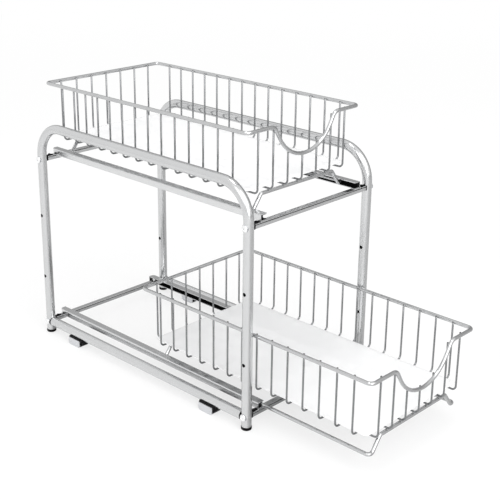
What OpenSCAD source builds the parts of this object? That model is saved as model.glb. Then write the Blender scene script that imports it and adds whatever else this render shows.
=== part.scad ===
// Pull-out cabinet basket: two wire baskets that slide on rails in a standing tube frame.
// Millimetres. +Z is up, the baskets pull out towards -Y, and the origin lies on the floor
// at the centre of the four floor clips. The lower basket is drawn pulled out.

/* [Frame tubes] */
// Spacing of the two side frames, tube axis to tube axis
frame_w = 276; // [240:1:360]
// Spacing of the front and rear legs, tube axis to tube axis
frame_d = 494.4; // [480:0.2:600]
// Height of the top bars' axis above the floor
frame_h = 389.4; // [380:0.2:520]
// Outer diameter of the frame tube
tube_d = 16; // [15:0.5:20]
// Wall of the frame tube
tube_wall = 1.2; // [0.8:0.1:1.6]
// Bend radius of the top corners, on the tube axis
arch_r = 54; // [30:1:58]
// Height of the base tubes' axis above the floor
base_z = 21.1; // [18:0.1:24]
// Diameter of the holes across the legs
leg_hole_d = 6; // [5:0.2:7]
// Height of the lower spare holes
spare_z1 = 110.7; // [70:0.1:150]
// Height of the upper spare holes
spare_z2 = 225.7; // [170:0.1:270]
// Gap between a base tube's end and the legs
base_gap = 0.7; // [0.5:0.1:1.5]
// Length of the collar between a base tube and its leg
base_collar = 2.7; // [1.5:0.1:2.8]

/* [Foot caps] */
// Diameter of a foot cap
foot_d = 17; // [16.5:0.1:21]
// Height of the cap below the tube
foot_h = 4.5; // [3:0.1:6]
// Radius of the cap's bottom edge
foot_r = 2; // [1:0.1:2.5]
// Length of the cap's plug inside the tube
foot_plug_h = 11; // [8:0.5:12]

/* [Crossbars] */
// Height of the lower crossbars' axis
bar_z1 = 21.95; // [21:0.05:26]
// Height from the upper crossbars' axis to the top bars' axis
top_gap = 61.3; // [58:0.1:90]
// Width of a crossbar
bar_w = 10; // [9:0.5:12]
// Height of a crossbar
bar_h = 7.5; // [7:0.1:9]
// Wall of a crossbar
bar_wall = 0.9; // [0.7:0.1:1.1]
// Corner radius of a crossbar
bar_r = 0.8; // [0.6:0.1:1.2]
// Width of the rolled groove along a crossbar
groove_w = 1.3; // [0.8:0.1:1.6]
// Depth of the rolled groove
groove_depth = 1; // [0.5:0.1:1.2]

/* [Joints of the frame] */
// Length of an end plug inside its tube or crossbar
plug_l = 14; // [10:1:20]
// Thickness of an end plug's collar between crossbar and leg
collar_t = 1.2; // [0.8:0.1:2]
// Thickness of the tongue that lies on the crossbar
tongue_t = 0.8; // [0.6:0.1:1.2]
// Width of the tongue
tongue_w = 5; // [4:0.5:8]
// Diameter of the button on the tongue
button_d = 6.6; // [5:0.1:8]
// Height of the button above the crossbar
button_h = 3.2; // [2:0.1:4]
// Shank diameter of a frame screw
screw_d = 4; // [3:0.1:4.4]
// Length of a frame screw's shank
screw_l = 28; // [24:1:32]
// Head diameter of a frame screw
head_d = 11; // [10:0.2:13]
// Head height of a frame screw
head_h = 2.3; // [1.8:0.1:3]
// Thickness of a saddle washer over the tube's crest
washer_t = 0.6; // [0.4:0.1:1]
// How far a saddle washer shows round the head
washer_rim = 0.3; // [0.1:0.1:0.6]
// Clearance of fitted parts
fit = 0.1; // [0.05:0.01:0.15]

/* [Rails and guides] */
// Distance from a leg's inner side to the rail's web
rail_inset = 14; // [11:0.5:20]
// Length of a rail beyond the leg axis at each end
rail_over = 2.8; // [0:0.1:6]
// Sheet thickness of a rail
rail_t = 1.2; // [1:0.1:1.6]
// Outer radius of the bends between a rail's web and its flanges
rail_bend_r = 2; // [1.4:0.1:2.4]
// Radius of the rail's closed rear corner
rail_end_r = 9; // [6:0.5:10]
// Distance from the runner wire's axis to the rail's open edge
rail_lip = 4; // [3.4:0.1:5]
// Thickness of the guide above and below the runner wire
guide_t = 1; // [0.8:0.1:1.6]
// Thickness of the guide beside the runner wire
guide_side = 4.5; // [3.5:0.1:6]
// Distance from a guide's ends to its rail's ends
guide_end = 0.8; // [0.5:0.1:2]
// Running clearance between runner wire and guide
slide_clear = 0.3; // [0.2:0.05:0.5]

/* [Floor clips] */
// Distance of the clips in front of and behind the centre
clip_y = 167; // [140:1:200]
// Outer width of a clip bracket
clip_w = 21; // [19:0.5:24]
// Length of a clip bracket
clip_l = 30; // [24:1:40]
// Height of a clip bracket
clip_h = 13.5; // [10:0.5:14]
// Sheet thickness of a clip bracket
clip_t = 1.5; // [1.2:0.1:2]
// Corner radius of a clip bracket's cheeks
clip_r = 5; // [2:0.5:6]
// Length of the rubber block in a clip
block_l = 37; // [32:1:46]
// Width of the block's ends that stand out of the clip
block_end_w = 9; // [6:0.5:14]
// How far the block climbs round the tube
block_wrap = 2.4; // [1:0.1:4]
// How far the block's overhanging ends reach below the tube
block_drop = 6; // [4:0.1:8]
// Radius of the ends' lower edges
block_r = 2.5; // [1:0.1:3]
// Diameter of the screw hole in a clip's floor
clip_hole_d = 4.5; // [4:0.1:6]
// Diameter of the screw well in the block
well_d = 10; // [9:0.5:12]

/* [Baskets] */
// Gap between a basket's rim and the legs
rim_clear = 0.9; // [0.5:0.1:6]
// Length of a basket, rim axis to rim axis
basket_l = 471.1; // [440:0.1:476]
// Distance of the rear rim's axis in front of the rear leg axis
rear_set = 7.2; // [6:0.1:30]
// Depth of a basket, rim axis to floor wire axis
basket_h = 96.5; // [70:0.5:140]
// Diameter of the rim wire
rim_d = 6; // [5:0.2:7]
// Corner radius of the rim, on the wire axis
rim_r = 8; // [6:0.5:16]
// Diameter of the basket wires
wire_d = 3; // [2.4:0.1:3.6]
// Bend radius of the basket wires, on the wire axis
wire_r = 7; // [4:0.5:12]
// Number of long wires
long_n = 7; // [5:2:9]
// Distance of the outer long wires from the rim axis
long_edge = 27.7; // [20:0.1:34]
// Number of cross wires
cross_n = 14; // [10:1:16]
// Distance of the rear cross wire from the rear rim axis
cross_rear = 38.3; // [30:0.1:46]
// Distance of the front cross wire from the front rim axis
cross_front = 32.5; // [26:0.1:40]
// Depth of the dip in the front rim
dip_depth = 52; // [46:0.5:58]
// Radius of the dip's round bottom, on the wire axis
dip_r = 67; // [60:0.5:72]
// Slope of the dip's straight flanks, in degrees
dip_slope = 60; // [50:1:60]
// Radius of the dip's shoulders, on the wire axis
shoulder_r = 13; // [8:0.5:16]
// Gap left where one wire is welded to another
tack_gap = 0.05; // [0.02:0.01:0.1]
// How far the lower basket is pulled out
lower_out = 237.5; // [0:0.5:237.5]

/* [Runner frames] */
// Diameter of the runner wire
runner_d = 6; // [5:0.2:7]
// Distance of the front bar behind the front rim axis
bar_front = 12.5; // [11:0.1:24]
// Distance of the rear bar in front of the rear rim axis
bar_rear = 25; // [16:0.5:34]
// Height of the bars above the side runners
runner_rise = 22.6; // [18:0.1:30]
// Level run from a side runner's axis to the foot of its sloped leg
foot_run = 8; // [8:0.1:10]
// Sideways run of a sloped leg
slope_run = 17; // [14:0.5:24]
// Bend radius between a side runner and its level run
corner_r = 5; // [4:0.1:5.2]
// Bend radius at the foot and the top of a sloped leg
slope_r = 5.5; // [4:0.1:5.8]

/* [Liners] */
// Thickness of a liner sheet
liner_t = 1.2; // [0.8:0.1:3]
// Gap between a liner's edge and the wire bends
liner_clear = 1.6; // [0.8:0.1:8]
// Corner radius of a liner
liner_r = 8; // [4:0.5:20]

/* [Hidden] */
$fn = 48;

steel = [0.80, 0.81, 0.82];
zinc = [0.70, 0.71, 0.73];
chrome = [0.90, 0.91, 0.92];
black = [0.07, 0.07, 0.08];
frosted = [0.93, 0.94, 0.95];

// cutters reach this far past the faces that they open
past = 1;
// a wire's bends are thicker by this factor, and its straights reach into them by this share of
// its diameter, so that the two always meet in full
bend_swell = 1.015;
bend_lap = 0.05;

// frame
leg_x = frame_w / 2;
leg_y = frame_d / 2;
tube_id = tube_d - 2 * tube_wall;
inner_side = leg_x - tube_d / 2;
bar_end = inner_side - collar_t;
base_end = leg_y - tube_d / 2 - base_gap;
bar_z2 = frame_h - top_gap;

// rails: the runner wire sets the size of the guide, and the guide that of the rail
rail_h = runner_d + 2 * (slide_clear + guide_t + rail_t);
rail_w = rail_t + guide_side + slide_clear + runner_d / 2 + rail_lip;
web_x = inner_side - rail_inset;
runner_x = web_x - rail_t - guide_side - slide_clear - runner_d / 2;
rail_y = leg_y + rail_over;

// baskets, measured from the rim axis
rim_x = inner_side - rim_clear - rim_d / 2;
rim_rear = leg_y - rear_set;
rim_front = rim_rear - basket_l;
wall_in = (rim_d + wire_d) / 2 + tack_gap;
cross_x = rim_x - wall_in;
long_front = rim_front + wall_in;
long_rear = rim_rear - wall_in;
cross_floor = wire_d + tack_gap - basket_h;
bar_drop = basket_h + (wire_d + runner_d) / 2 + tack_gap;
runner_drop = bar_drop + runner_rise;
liner_z = cross_floor + wire_d / 2 + tack_gap;
wire_top = rim_d / 3;
long_pitch = 2 * (rim_x - long_edge) / (long_n - 1);
cross_pitch = (basket_l - cross_rear - cross_front) / (cross_n - 1);

// the dip: a round bottom between two flanks, whose lines cross at dip_tip below the rim and
// meet the rim's own line at dip_x from the middle
dip_tip = dip_depth + dip_r * (1 / cos(dip_slope) - 1);
dip_x = dip_tip / tan(dip_slope);
shoulder_take = shoulder_r * tan(dip_slope / 2);
flank_low = dip_r * sin(dip_slope);
flank_high = dip_x - shoulder_take * cos(dip_slope);
shoulder_end = dip_x + shoulder_take;

// Height of the front rim's axis at a distance x from the middle
function rim_z(x) =
  abs(x) < flank_low ? dip_r - dip_depth - sqrt(dip_r * dip_r - x * x)
  : abs(x) < flank_high ? (abs(x) - dip_x) * tan(dip_slope)
  : abs(x) < shoulder_end
    ? sqrt(shoulder_r * shoulder_r - pow(shoulder_end - abs(x), 2)) - shoulder_r
  : 0;
function unit(v) = v / norm(v);
function rim_axis_z(bar_z) = bar_z + (bar_h + rail_h) / 2 + runner_drop;

// ---- bent round bar ----

// Put children at o with their own axes along x, y and z
module seat(o, x, y, z) {
  multmatrix([
    [x[0], y[0], z[0], o[0]],
    [x[1], y[1], z[1], o[1]],
    [x[2], y[2], z[2], o[2]],
    [0, 0, 0, 1]
  ])
    children();
}

// Straight round bar from a to b, lengthened at each end by lap
module straight(a, b, d, lap_a, lap_b) {
  z = unit(b - a);
  x = unit(cross(abs(z[2]) < 0.9 ? [0, 0, 1] : [1, 0, 0], z));
  seat(a - z * lap_a, x, cross(z, x), z)
    cylinder(d = d, h = norm(b - a) + lap_a + lap_b);
}

// Bend of radius r at corner c, from direction u to direction v
module elbow(c, u, v, r, d) {
  turn = acos(u * v);
  side = unit(v - u * (u * v));
  start = c - u * r * tan(turn / 2);
  seat(start + side * r, -side, u, cross(u, side))
    rotate_extrude(angle = turn)
      translate([r, 0])
        circle(d = d);
}

// Tangent length that a bend takes from each side of a corner
function bend_take(a, c, b, r) = r * tan(acos(unit(c - a) * unit(b - c)) / 2);

// Open bent bar through the points p, with one bend radius for each inner point.
// The bends are thicker by the factor swell, and each straight reaches into them by lap.
module bent_bar(p, r, d, swell, lap) {
  n = len(p);
  take = [for (i = [0 : n - 1]) i == 0 || i == n - 1 ? 0 : bend_take(p[i - 1], p[i], p[i + 1], r[i])];
  for (i = [0 : n - 2]) {
    u = unit(p[i + 1] - p[i]);
    straight(p[i] + u * take[i], p[i + 1] - u * take[i + 1], d, i == 0 ? 0 : lap, i == n - 2 ? 0 : lap);
  }
  for (i = [1 : n - 2])
    elbow(p[i], unit(p[i] - p[i - 1]), unit(p[i + 1] - p[i]), r[i], d * swell);
}

// Closed bent bar through the points p
module bent_loop(p, r, d, swell, lap) {
  n = len(p);
  take = [for (i = [0 : n - 1]) bend_take(p[(i + n - 1) % n], p[i], p[(i + 1) % n], r[i])];
  for (i = [0 : n - 1]) {
    j = (i + 1) % n;
    u = unit(p[j] - p[i]);
    straight(p[i] + u * take[i], p[j] - u * take[j], d, lap, lap);
    elbow(p[j], u, unit(p[(j + 1) % n] - p[j]), r[j], d * swell);
  }
}

// Rectangle with round corners
module soft_rect(w, h, r) {
  square([w - 2 * r, h], center = true);
  square([w, h - 2 * r], center = true);
  for (sx = [-1, 1])
    for (sy = [-1, 1])
      translate([sx * (w / 2 - r), sy * (h / 2 - r)])
        circle(r = r);
}

// ---- tube frame ----

// The bent line of one side frame as a round bar of diameter d, its legs reaching down to z = low
module arch_bar(d, low) {
  bent_bar(
    [[0, -leg_y, low], [0, -leg_y, frame_h], [0, leg_y, frame_h], [0, leg_y, low]],
    [0, arch_r, arch_r, 0], d, 1, 0
  );
}

// One side frame: two legs and a top bar bent from one tube, drilled for the screws
module arch(side) {
  color(steel)
    translate([side * leg_x, 0, 0])
      difference() {
        arch_bar(tube_d, foot_h);
        arch_bar(tube_id, foot_h - past);
        for (s = [-1, 1])
          for (z = [bar_z1, spare_z1, spare_z2, bar_z2])
            translate([-tube_d, s * leg_y, z])
              rotate([0, 90, 0])
                cylinder(d = leg_hole_d, h = 2 * tube_d);
      }
}

// One base tube, cut square just short of the legs
module base_tube(side) {
  color(steel)
    translate([side * leg_x, 0, base_z])
      rotate([-90, 0, 0])
        difference() {
          translate([0, 0, -base_end])
            cylinder(d = tube_d, h = 2 * base_end);
          translate([0, 0, -base_end - past])
            cylinder(d = tube_id, h = 2 * (base_end + past));
        }
}

// The plugs in the base tubes' ends, each with a collar shaped to its leg
module base_tube_plugs() {
  color(black)
    for (side = [-1, 1])
      for (end = [0, 1])
        mirror([0, end, 0])
          difference() {
            translate([side * leg_x, base_end - plug_l, base_z])
              rotate([-90, 0, 0]) {
                cylinder(d = tube_id - 2 * fit, h = plug_l);
                translate([0, 0, plug_l])
                  cylinder(d = tube_d, h = base_collar);
              }
            translate([side * leg_x, leg_y, base_z - tube_d])
              cylinder(d = tube_d + 2 * fit, h = 2 * tube_d);
          }
}

// One foot cap with its plug inside the leg
module foot(side, end) {
  color(black)
    translate([side * leg_x, end * leg_y, 0])
      rotate_extrude() {
        translate([0, foot_r])
          square([foot_d / 2, foot_h - foot_r]);
        square([foot_d / 2 - foot_r, foot_r]);
        intersection() {
          translate([foot_d / 2 - foot_r, foot_r])
            circle(r = foot_r);
          square([foot_d / 2, foot_r]);
        }
        translate([0, foot_h])
          square([tube_id / 2 - fit, foot_plug_h]);
      }
}

// ---- crossbars, end plugs, screws and washers ----

// One crossbar: a flat tube with a rolled groove along its front upper edge
module crossbar(end, z) {
  color(steel)
    translate([-bar_end, end * leg_y, z])
      rotate([90, 0, 90])
        linear_extrude(2 * bar_end)
          difference() {
            soft_rect(bar_w, bar_h, bar_r);
            difference() {
              square([bar_w - 2 * bar_wall, bar_h - 2 * bar_wall], center = true);
              translate([-bar_w / 2, bar_h / 2 - bar_wall - groove_w - groove_depth])
                square([bar_wall + groove_depth, groove_w + 2 * groove_depth]);
            }
            translate([-bar_w / 2, bar_h / 2 - bar_r - groove_w])
              square([groove_depth, groove_w]);
          }
}

// One end plug, drawn for the left end of a bar that runs along +X from the leg's axis
module end_plug() {
  core_w = bar_w - 2 * (bar_wall + groove_depth + fit);
  core_h = bar_h - 2 * (bar_wall + fit);
  tongue_l = rail_inset - collar_t - 2 * fit;
  start = tube_d / 2 + collar_t;
  cap_r = (pow(button_d / 2, 2) + button_h * button_h) / (2 * button_h);
  difference() {
    union() {
      translate([0, -bar_w / 2, -bar_h / 2])
        cube([start, bar_w, bar_h]);
      translate([start, -core_w / 2, -core_h / 2])
        cube([plug_l, core_w, core_h]);
      translate([0, -tongue_w / 2, bar_h / 2])
        cube([start + tongue_l, tongue_w, tongue_t]);
      translate([start + tongue_l / 2, 0, bar_h / 2 + tongue_t])
        intersection() {
          translate([0, 0, button_h - tongue_t - cap_r])
            sphere(r = cap_r);
          cylinder(d = button_d, h = button_h);
        }
    }
    translate([0, 0, -tube_d])
      cylinder(d = tube_d + 2 * fit, h = 2 * tube_d);
    rotate([0, 90, 0])
      cylinder(d = screw_d + fit, h = start + plug_l + past);
  }
}

// One frame screw with its domed head, drawn along +X from under the head
module frame_screw() {
  cap_r = (pow(head_d / 2, 2) + head_h * head_h) / (2 * head_h);
  rotate([0, 90, 0])
    cylinder(d = screw_d, h = screw_l);
  intersection() {
    translate([cap_r - head_h, 0, 0])
      sphere(r = cap_r);
    translate([-head_h, 0, 0])
      rotate([0, 90, 0])
        cylinder(d = head_d, h = head_h);
  }
}

// One washer shaped to the tube, with a collar that fills the hole in the tube's wall
module saddle_washer() {
  top = tube_d / 2 + washer_t;
  difference() {
    union() {
      difference() {
        translate([-top, 0, 0])
          rotate([0, 90, 0])
            cylinder(d = head_d + 2 * washer_rim, h = top);
        translate([0, 0, -tube_d])
          cylinder(d = tube_d + fit, h = 2 * tube_d);
      }
      translate([-top, 0, 0])
        rotate([0, 90, 0])
          cylinder(d = leg_hole_d - 2 * fit, h = washer_t + tube_wall);
    }
    translate([-top - past, 0, 0])
      rotate([0, 90, 0])
        cylinder(d = screw_d + 2 * fit, h = top + 2 * past);
  }
}

// Children at both ends of all four crossbars, facing along each bar
module at_bar_ends() {
  for (z = [bar_z1, bar_z2])
    for (end = [-1, 1])
      for (side = [0, 1])
        mirror([side, 0, 0])
          translate([-leg_x, end * leg_y, z])
            children();
}

module bar_end_plugs() {
  color(black)
    at_bar_ends()
      end_plug();
}

module frame_screws() {
  color(chrome)
    at_bar_ends()
      translate([-tube_d / 2 - washer_t, 0, 0])
        frame_screw();
}

module saddle_washers() {
  color(zinc)
    at_bar_ends()
      saddle_washer();
}

// ---- rails and guides, drawn for the right side and mirrored ----

// Plan of a rail, with its closed rear end rounded
module rail_plan(inset) {
  corner = rail_y - rail_end_r;
  translate([web_x - rail_w, -rail_y])
    square([rail_w - inset, rail_y + corner]);
  translate([web_x - rail_w, corner - past])
    square([rail_w - rail_end_r, rail_end_r + past - inset]);
  intersection() {
    translate([web_x - rail_end_r, corner])
      circle(r = rail_end_r - inset);
    translate([web_x - rail_end_r, corner])
      square(rail_end_r);
  }
}

// Outline of a rail across its length, its web's edges rounded by the sheet's bends. Its x is
// the rail's x, and its y is the height with the sign turned.
module rail_outline() {
  translate([web_x - rail_w - past, -rail_h + rail_bend_r])
    square([rail_w + past, rail_h - 2 * rail_bend_r]);
  translate([web_x - rail_w - past, -rail_h])
    square([rail_w + past - rail_bend_r, rail_h]);
  for (y = [-rail_bend_r, rail_bend_r - rail_h])
    translate([web_x - rail_bend_r, y])
      circle(r = rail_bend_r);
}

// One C-shaped rail that lies on its two crossbars, open towards the basket
module rail(side, bar_z) {
  color(steel)
    mirror([side < 0 ? 1 : 0, 0, 0])
      translate([0, 0, bar_z + bar_h / 2])
        difference() {
          intersection() {
            translate([0, 0, -past])
              linear_extrude(rail_h + 2 * past)
                rail_plan(0);
            translate([0, -rail_y - past, 0])
              rotate([-90, 0, 0])
                linear_extrude(2 * (rail_y + past))
                  rail_outline();
          }
          translate([0, 0, rail_t])
            linear_extrude(rail_h - 2 * rail_t) {
              rail_plan(rail_t);
              translate([web_x - rail_w - past, -rail_y - past])
                square([rail_w + past - rail_t, 2 * past]);
              translate([web_x - rail_w - past, -rail_y])
                square([2 * past, 2 * rail_y - rail_t]);
            }
        }
}

// One guide inside a rail: a channel that the runner wire slides along
module guide(side, bar_z) {
  back = web_x - rail_t;
  front = web_x - rail_w + guide_end;
  color(black)
    mirror([side < 0 ? 1 : 0, 0, 0])
      translate([0, -rail_y + guide_end, bar_z + (bar_h + rail_h) / 2])
        rotate([-90, 0, 0])
          linear_extrude(2 * rail_y - rail_end_r - 2 * guide_end)
            difference() {
              translate([front, -rail_h / 2 + rail_t])
                square([back - front, rail_h - 2 * rail_t]);
              translate([front - past, -runner_d / 2 - slide_clear])
                square([back - guide_side - front + past, runner_d + 2 * slide_clear]);
            }
}

// ---- floor clips ----

// Outline of a clip's cheek, along Y and Z, with round lower corners
module cheek_outline() {
  translate([-clip_l / 2, clip_r])
    square([clip_l, clip_h - clip_r]);
  translate([-clip_l / 2 + clip_r, 0])
    square([clip_l - 2 * clip_r, clip_h]);
  for (s = [-1, 1])
    translate([s * (clip_l / 2 - clip_r), clip_r])
      circle(r = clip_r);
}

// One bracket folded from sheet to a U, with a screw hole in its floor
module clip(side, end) {
  color(zinc)
    translate([side * leg_x, end * clip_y, 0])
      difference() {
        rotate([90, 0, 90])
          translate([0, 0, -clip_w / 2])
            linear_extrude(clip_w)
              cheek_outline();
        translate([-clip_w / 2 + clip_t, -clip_l, clip_t])
          cube([clip_w - 2 * clip_t, 2 * clip_l, clip_h]);
        translate([0, 0, -past])
          cylinder(d = clip_hole_d, h = clip_t + 2 * past);
      }
}

// Outline of a block, along Y and Z: its foot in the bracket and its body of length l
module block_outline(l) {
  top = base_z - tube_d / 2 + block_wrap;
  low = base_z - tube_d / 2 - block_drop;
  translate([-clip_l / 2 + clip_r, clip_t])
    square([clip_l - 2 * clip_r, top - clip_t]);
  translate([-l / 2, low + block_r])
    square([l, top - low - block_r]);
  translate([-l / 2 + block_r, low])
    square([l - 2 * block_r, top - low]);
  for (s = [-1, 1])
    translate([s * (l / 2 - block_r), low + block_r])
      circle(r = block_r);
}

// One rubber block that sits in the bracket and cradles the base tube on its narrower ends too
module block(side, end) {
  w = clip_w - 2 * (clip_t + fit);
  color(black)
    translate([side * leg_x, end * clip_y, 0])
      difference() {
        rotate([90, 0, 90])
          for (part = [[w, clip_l], [block_end_w, block_l]])
            translate([0, 0, -part[0] / 2])
              linear_extrude(part[0])
                block_outline(part[1]);
        translate([0, -block_l, base_z])
          rotate([-90, 0, 0])
            cylinder(d = tube_d + 2 * fit, h = 2 * block_l);
        translate([0, 0, clip_t - past])
          cylinder(d = well_d, h = base_z);
      }
}

// ---- baskets ----

// Children of one basket at its tier, the rim axis at z = 0
module tier(bar_z, out) {
  translate([0, -out, rim_axis_z(bar_z)])
    children();
}

// The rim: one closed loop with a dip in its front
module rim() {
  bent_loop(
    [[-rim_x, rim_front, 0], [-dip_x, rim_front, 0], [0, rim_front, -dip_tip],
     [dip_x, rim_front, 0], [rim_x, rim_front, 0], [rim_x, rim_rear, 0], [-rim_x, rim_rear, 0]],
    [rim_r, shoulder_r, dip_r, shoulder_r, rim_r, rim_r, rim_r],
    rim_d, bend_swell, rim_d * bend_lap
  );
}

// The cross wires: a U from side to side, under the liner and over the long wires
module cross_wires() {
  for (i = [0 : cross_n - 1]) {
    y = rim_rear - cross_rear - i * cross_pitch;
    bent_bar(
      [[-cross_x, y, wire_top], [-cross_x, y, cross_floor],
       [cross_x, y, cross_floor], [cross_x, y, wire_top]],
      [0, wire_r, wire_r, 0], wire_d, bend_swell, wire_d * bend_lap
    );
  }
}

// The long wires: a U from the front rim, or its dip, to the rear rim
module long_wires() {
  for (i = [0 : long_n - 1]) {
    x = (i - (long_n - 1) / 2) * long_pitch;
    bent_bar(
      [[x, long_front, rim_z(x) + wire_top], [x, long_front, -basket_h],
       [x, long_rear, -basket_h], [x, long_rear, wire_top]],
      [0, wire_r, wire_r, 0], wire_d, bend_swell, wire_d * bend_lap
    );
  }
}

// The runner frame: one closed loop, two bars under the basket and two side runners
module runner_frame() {
  y0 = rim_front + bar_front;
  y1 = rim_rear - bar_rear;
  foot_x = runner_x - foot_run;
  top_x = foot_x - slope_run;
  bent_loop(
    [[-top_x, y0, -bar_drop], [top_x, y0, -bar_drop], [foot_x, y0, -runner_drop],
     [runner_x, y0, -runner_drop], [runner_x, y1, -runner_drop], [foot_x, y1, -runner_drop],
     [top_x, y1, -bar_drop], [-top_x, y1, -bar_drop], [-foot_x, y1, -runner_drop],
     [-runner_x, y1, -runner_drop], [-runner_x, y0, -runner_drop], [-foot_x, y0, -runner_drop]],
    [slope_r, slope_r, slope_r, corner_r, corner_r, slope_r,
     slope_r, slope_r, slope_r, corner_r, corner_r, slope_r],
    runner_d, bend_swell, runner_d * bend_lap
  );
}

// The liner: a sheet that lies on the cross wires
module liner() {
  edge = wire_r + wire_d / 2 + liner_clear;
  w = 2 * (cross_x + wire_d / 2 - edge);
  l = long_rear - long_front + wire_d - 2 * edge;
  translate([0, (long_rear + long_front) / 2, liner_z])
    linear_extrude(liner_t)
      soft_rect(w, l, liner_r);
}

module lower_rim() { color(steel) tier(bar_z1, lower_out) rim(); }
module lower_cross_wires() { color(steel) tier(bar_z1, lower_out) cross_wires(); }
module lower_long_wires() { color(steel) tier(bar_z1, lower_out) long_wires(); }
module lower_runner_frame() { color(steel) tier(bar_z1, lower_out) runner_frame(); }
module lower_liner() { color(frosted) tier(bar_z1, lower_out) liner(); }
module upper_rim() { color(steel) tier(bar_z2, 0) rim(); }
module upper_cross_wires() { color(steel) tier(bar_z2, 0) cross_wires(); }
module upper_long_wires() { color(steel) tier(bar_z2, 0) long_wires(); }
module upper_runner_frame() { color(steel) tier(bar_z2, 0) runner_frame(); }
module upper_liner() { color(frosted) tier(bar_z2, 0) liner(); }

arch(-1);  // left_arch
arch(1);  // right_arch
base_tube(-1);  // left_base_tube
base_tube(1);  // right_base_tube
base_tube_plugs();
foot(-1, -1);  // front_left_foot
foot(1, -1);  // front_right_foot
foot(-1, 1);  // rear_left_foot
foot(1, 1);  // rear_right_foot
crossbar(-1, bar_z1);  // lower_front_bar
crossbar(1, bar_z1);  // lower_rear_bar
crossbar(-1, bar_z2);  // upper_front_bar
crossbar(1, bar_z2);  // upper_rear_bar
bar_end_plugs();
frame_screws();
saddle_washers();
rail(-1, bar_z1);  // lower_left_rail
rail(1, bar_z1);  // lower_right_rail
rail(-1, bar_z2);  // upper_left_rail
rail(1, bar_z2);  // upper_right_rail
guide(-1, bar_z1);  // lower_left_guide
guide(1, bar_z1);  // lower_right_guide
guide(-1, bar_z2);  // upper_left_guide
guide(1, bar_z2);  // upper_right_guide
clip(-1, -1);  // front_left_clip
clip(1, -1);  // front_right_clip
clip(-1, 1);  // rear_left_clip
clip(1, 1);  // rear_right_clip
block(-1, -1);  // front_left_block
block(1, -1);  // front_right_block
block(-1, 1);  // rear_left_block
block(1, 1);  // rear_right_block
lower_rim();
lower_cross_wires();
lower_long_wires();
lower_runner_frame();
lower_liner();
upper_rim();
upper_cross_wires();
upper_long_wires();
upper_runner_frame();
upper_liner();
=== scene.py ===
import math
import bmesh
import bpy
from mathutils import Matrix, Vector


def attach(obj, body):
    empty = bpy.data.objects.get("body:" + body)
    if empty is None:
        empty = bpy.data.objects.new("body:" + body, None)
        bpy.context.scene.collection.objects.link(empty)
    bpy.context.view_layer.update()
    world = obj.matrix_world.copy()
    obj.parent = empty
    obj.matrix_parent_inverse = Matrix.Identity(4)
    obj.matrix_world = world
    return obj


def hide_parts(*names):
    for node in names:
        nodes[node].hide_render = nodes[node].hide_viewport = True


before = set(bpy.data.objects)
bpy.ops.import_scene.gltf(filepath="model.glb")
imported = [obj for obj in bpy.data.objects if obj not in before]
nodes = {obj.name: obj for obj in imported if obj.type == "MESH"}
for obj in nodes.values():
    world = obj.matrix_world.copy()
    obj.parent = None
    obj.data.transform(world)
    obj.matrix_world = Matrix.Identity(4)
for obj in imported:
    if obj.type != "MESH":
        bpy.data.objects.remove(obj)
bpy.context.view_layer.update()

# ---- Camera ----
# The photograph is taken from the front left, a little above the upper basket.
# Place, angles and lens were solved from the legs, rims and crossbars.
turn, tilt, lean = math.radians(-46.19), math.radians(19.44), math.radians(0.50)
look = Vector((-math.sin(turn) * math.cos(tilt), math.cos(turn) * math.cos(tilt), -math.sin(tilt)))
level = look.cross(Vector((0, 0, 1))).normalized()
above = level.cross(look)
sideways = level * math.cos(lean) + above * math.sin(lean)
upwards = above * math.cos(lean) - level * math.sin(lean)
lens = bpy.data.cameras.new("photo_lens")
lens.lens, lens.sensor_width = 76.106, 36
lens.shift_x, lens.shift_y = 0.02, -0.06
lens.clip_start, lens.clip_end = 0.05, 60
camera = bpy.data.objects.new("photo_camera", lens)
stand = Matrix.Translation((-1.17322, -1.22293, 0.84151))
camera.matrix_world = stand @ Matrix((sideways, upwards, -look)).transposed().to_4x4()
bpy.context.scene.collection.objects.link(camera)
bpy.context.scene.camera = camera
bpy.context.scene.view_settings.view_transform = "Standard"

# ---- Studio floor, white room and lamps ----
# A plain white floor keeps the object's shadow and turns whiter far off, under soft lamps.
# Metal sees the room white on the left and grey on the right, in part through the floor.
floor_radius = 14
mesh = bpy.data.meshes.new("studio_floor")
bm = bmesh.new()
bmesh.ops.create_circle(bm, cap_ends=True, segments=96, radius=floor_radius)
bm.to_mesh(mesh)
bm.free()
floor = bpy.data.objects.new("studio_floor", mesh)
bpy.context.scene.collection.objects.link(floor)


class Paint:
    """The nodes of one material, wired by name."""

    def __init__(self, tree):
        self.tree = tree
        tree.nodes.clear()

    def add(self, kind, inputs=None, **settings):
        node = self.tree.nodes.new(kind)
        for name, value in settings.items():
            setattr(node, name, value)
        for name, value in (inputs or {}).items():
            node.inputs[name].default_value = value
        return node

    def wire(self, source, out, target, into):
        self.tree.links.new(source.outputs[out], target.inputs[into])


def new_material(name):
    material = bpy.data.materials.new(name)
    material.use_nodes = True
    return material, Paint(material.node_tree)


def eased(p, source, start, stop, first, last):
    """A number that eases from first to last while its source goes from start to stop."""
    span = {"From Min": start, "From Max": stop, "To Min": first, "To Max": last}
    number = p.add("ShaderNodeMapRange", span, interpolation_type="SMOOTHSTEP")
    p.wire(source, "Value", number, "Value")
    return number


def falls_off(p, direction, aim, start, stop, dark):
    """A grey that goes from white to dark towards the aim, read from a direction."""
    along = p.add("ShaderNodeVectorMath", {1: aim}, operation="DOT_PRODUCT")
    p.wire(direction, "Generated", along, 0)
    return eased(p, along, start, stop, 1.0, dark)


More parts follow.
